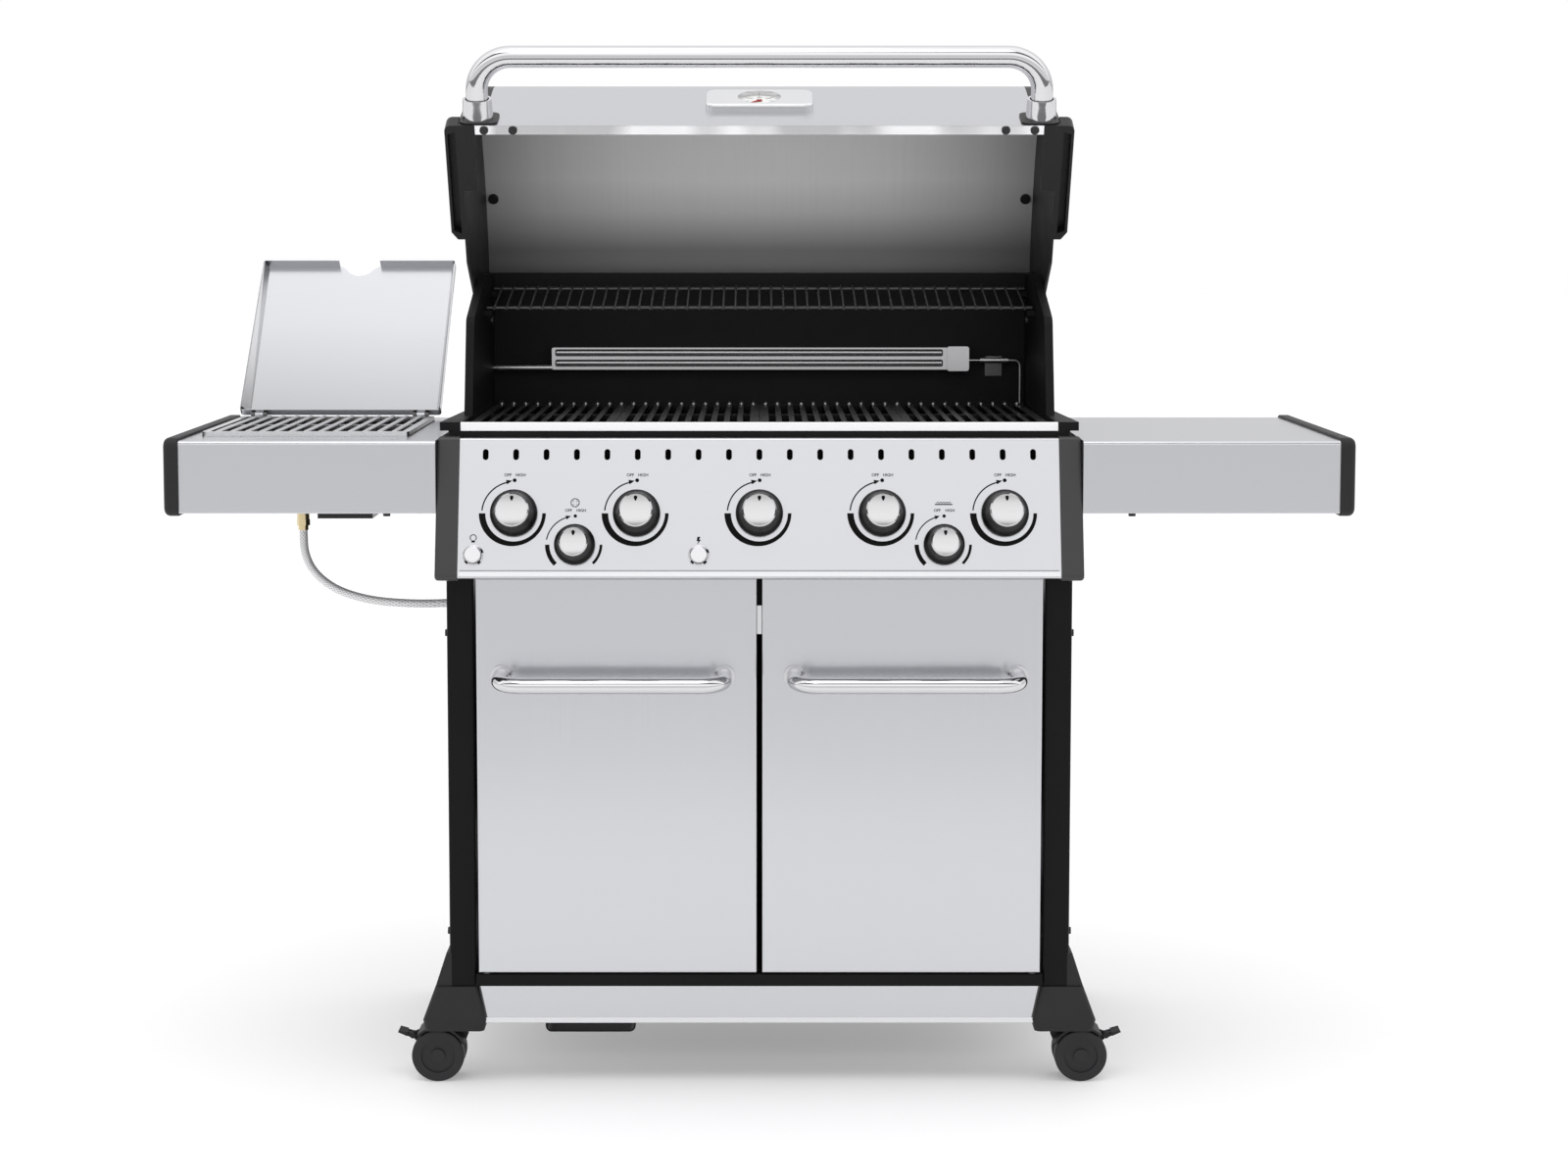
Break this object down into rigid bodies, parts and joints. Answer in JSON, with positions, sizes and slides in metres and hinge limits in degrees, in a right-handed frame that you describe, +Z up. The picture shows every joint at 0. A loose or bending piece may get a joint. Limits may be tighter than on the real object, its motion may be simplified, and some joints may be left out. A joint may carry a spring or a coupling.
{
  "type": "gas barbecue grill",
  "caption": "Cabinet-style gas barbecue grill on casters with an opening lid, cooking grids, control panel with knobs, side shelves, side burner and storage doors.",
  "frame": {"origin": "centre of the footprint at floor level, under the middle of the bounding box", "axes": "+X to the right as seen from the front, +Y to the back, +Z up"},
  "size_m": [1.636, 0.6498, 1.462],
  "materials": {
    "black_steel": "satin black powder coat",
    "black_plastic": "matte black",
    "dark_cast": "semi-gloss dark grey",
    "black_cast": "satin black heat-proof paint on casting",
    "cast_iron": "black enamelled",
    "black_wire": "black coated wire",
    "stainless": "brushed",
    "chrome": "polished",
    "brass": "pale brass",
    "hose_braid": "light grey braid",
    "knob_black": "black with silver face",
    "needle_red": "painted pointer",
    "wheel_rubber": "dark grey"
  },
  "bodies": {
    "cart": {"cabinet_floor": "black_steel", "cabinet_side_panels": "black_steel", "caster_sockets": "black_plastic", "control_panel": "stainless", "cooking_grids": "cast_iron", "corner_posts": "black_steel", "door_catch": "stainless", "firebox": "black_cast", "firebox_trim": "stainless", "frame_screws": "black_steel", "front_rails": "black_steel", "gas_manifold": "brass", "heat_tents": "stainless", "hinge_pins": "stainless", "hose_fittings": "brass", "kick_panel": "stainless", "left_shelf": "stainless", "main_burners": "stainless", "panel_end_caps": "dark_cast", "rear_burner": "stainless", "rear_panel": "black_steel", "right_shelf": "stainless", "shelf_end_caps": "black_plastic", "side_burner_bowl": "stainless", "side_burner_grate": "stainless", "side_burner_head": "brass", "side_burner_hose": "hose_braid", "warming_rack": "black_wire"},
    "lid": {"lid_skin": "stainless", "lid_liner": "stainless", "lid_end_caps": "black_cast", "lid_handle": "chrome", "lid_screws": "black_steel", "thermometer_bezel": "stainless"},
    "thermometer_pointer": {"thermometer_needle": "needle_red"},
    "side_cover": {"side_burner_cover": "stainless"},
    "left_door": {"left_door": "stainless", "left_door_handle": "chrome"},
    "right_door": {"right_door": "stainless", "right_door_handle": "chrome"},
    "grease_tray": {"grease_tray": "stainless"},
    "light_button": {"light_button": "chrome"},
    "ignition_button": {"ignition_button": "chrome"},
    "side_burner_knob": {"side_burner_knob": "knob_black"},
    "rear_burner_knob": {"rear_burner_knob": "knob_black"},
    "knob_1": {"knob_1": "knob_black"},
    "knob_2": {"knob_2": "knob_black"},
    "knob_3": {"knob_3": "knob_black"},
    "knob_4": {"knob_4": "knob_black"},
    "knob_5": {"knob_5": "knob_black"},
    "caster_front_left": {"caster_fork_front_left": "black_plastic"},
    "wheels_front_left": {"caster_wheels_front_left": "wheel_rubber"},
    "caster_front_right": {"caster_fork_front_right": "black_plastic"},
    "wheels_front_right": {"caster_wheels_front_right": "wheel_rubber"},
    "caster_rear_left": {"caster_fork_rear_left": "black_plastic"},
    "wheels_rear_left": {"caster_wheels_rear_left": "wheel_rubber"},
    "caster_rear_right": {"caster_fork_rear_right": "black_plastic"},
    "wheels_rear_right": {"caster_wheels_rear_right": "wheel_rubber"},
    "brake_left": {"brake_lever_left": "black_plastic"},
    "brake_right": {"brake_lever_right": "black_plastic"}
  },
  "joints": [
    {"name": "lid_hinge", "type": "hinge", "parent": "cart", "child": "lid", "pos_m": [0, 0.1711, 1.063], "axis": [1, 0, 0], "range_deg": [0, 62]},
    {"name": "thermometer_pointer", "type": "hinge", "parent": "lid", "child": "thermometer_pointer", "pos_m": [0, -0.01838, 1.38487], "axis": [0, -0.3322, 0.9432], "range_deg": [-265, 0]},
    {"name": "side_cover_hinge", "type": "hinge", "parent": "cart", "child": "side_cover", "pos_m": [-0.6355, 0.1031, 0.922], "axis": [1, 0, 0], "range_deg": [0, 133.5]},
    {"name": "left_door_hinge", "type": "hinge", "parent": "cart", "child": "left_door", "pos_m": [-0.383, -0.2429, 0.44], "axis": [0, 0, -1], "range_deg": [0, 110]},
    {"name": "right_door_hinge", "type": "hinge", "parent": "cart", "child": "right_door", "pos_m": [0.383, -0.2429, 0.44], "axis": [0, 0, 1], "range_deg": [0, 110]},
    {"name": "grease_tray_slide", "type": "slide", "parent": "cart", "child": "grease_tray", "axis": [0, 1, 0], "range_m": [0, 0.38]},
    {"name": "knob_1_turn", "type": "hinge", "parent": "cart", "child": "knob_1", "pos_m": [-0.337, -0.27962, 0.815], "axis": [0, -0.9667, 0.2558], "range_deg": [0, 270]},
    {"name": "knob_2_turn", "type": "hinge", "parent": "cart", "child": "knob_2", "pos_m": [-0.1685, -0.27962, 0.815], "axis": [0, -0.9667, 0.2558], "range_deg": [0, 270]},
    {"name": "knob_3_turn", "type": "hinge", "parent": "cart", "child": "knob_3", "pos_m": [0, -0.27962, 0.815], "axis": [0, -0.9667, 0.2558], "range_deg": [0, 270]},
    {"name": "knob_4_turn", "type": "hinge", "parent": "cart", "child": "knob_4", "pos_m": [0.1685, -0.27962, 0.815], "axis": [0, -0.9667, 0.2558], "range_deg": [0, 270]},
    {"name": "knob_5_turn", "type": "hinge", "parent": "cart", "child": "knob_5", "pos_m": [0.337, -0.27962, 0.815], "axis": [0, -0.9667, 0.2558], "range_deg": [0, 270]},
    {"name": "side_burner_knob_turn", "type": "hinge", "parent": "cart", "child": "side_burner_knob", "pos_m": [-0.253, -0.29073, 0.773], "axis": [0, -0.9667, 0.2558], "range_deg": [0, 270]},
    {"name": "rear_burner_knob_turn", "type": "hinge", "parent": "cart", "child": "rear_burner_knob", "pos_m": [0.253, -0.29073, 0.773], "axis": [0, -0.9667, 0.2558], "range_deg": [0, 270]},
    {"name": "light_button_push", "type": "slide", "parent": "cart", "child": "light_button", "axis": [0, 0.9667, -0.2558], "range_m": [0, 0.004], "stiffness_N_per_m": 800},
    {"name": "ignition_button_push", "type": "slide", "parent": "cart", "child": "ignition_button", "axis": [0, 0.9667, -0.2558], "range_m": [0, 0.004], "stiffness_N_per_m": 800},
    {"name": "caster_front_left_swivel", "type": "hinge", "parent": "cart", "child": "caster_front_left", "pos_m": [-0.43, -0.2069, 0.08], "axis": [0, 0, 1], "continuous": true},
    {"name": "wheels_front_left_spin", "type": "hinge", "parent": "caster_front_left", "child": "wheels_front_left", "pos_m": [-0.455, -0.2069, 0.037], "axis": [0, 1, 0], "continuous": true},
    {"name": "caster_front_right_swivel", "type": "hinge", "parent": "cart", "child": "caster_front_right", "pos_m": [0.43, -0.2069, 0.08], "axis": [0, 0, 1], "continuous": true},
    {"name": "wheels_front_right_spin", "type": "hinge", "parent": "caster_front_right", "child": "wheels_front_right", "pos_m": [0.455, -0.2069, 0.037], "axis": [0, 1, 0], "continuous": true},
    {"name": "caster_rear_left_swivel", "type": "hinge", "parent": "cart", "child": "caster_rear_left", "pos_m": [-0.43, 0.1911, 0.08], "axis": [0, 0, 1], "continuous": true},
    {"name": "wheels_rear_left_spin", "type": "hinge", "parent": "caster_rear_left", "child": "wheels_rear_left", "pos_m": [-0.455, 0.1911, 0.037], "axis": [0, 1, 0], "continuous": true},
    {"name": "caster_rear_right_swivel", "type": "hinge", "parent": "cart", "child": "caster_rear_right", "pos_m": [0.43, 0.1911, 0.08], "axis": [0, 0, 1], "continuous": true},
    {"name": "wheels_rear_right_spin", "type": "hinge", "parent": "caster_rear_right", "child": "wheels_rear_right", "pos_m": [0.455, 0.1911, 0.037], "axis": [0, 1, 0], "continuous": true},
    {"name": "brake_left", "type": "hinge", "parent": "caster_front_left", "child": "brake_left", "pos_m": [-0.4925, -0.2069, 0.061], "axis": [0, -1, 0], "range_deg": [0, 14]},
    {"name": "brake_right", "type": "hinge", "parent": "caster_front_right", "child": "brake_right", "pos_m": [0.4925, -0.2069, 0.061], "axis": [0, 1, 0], "range_deg": [0, 14]}
  ]
}
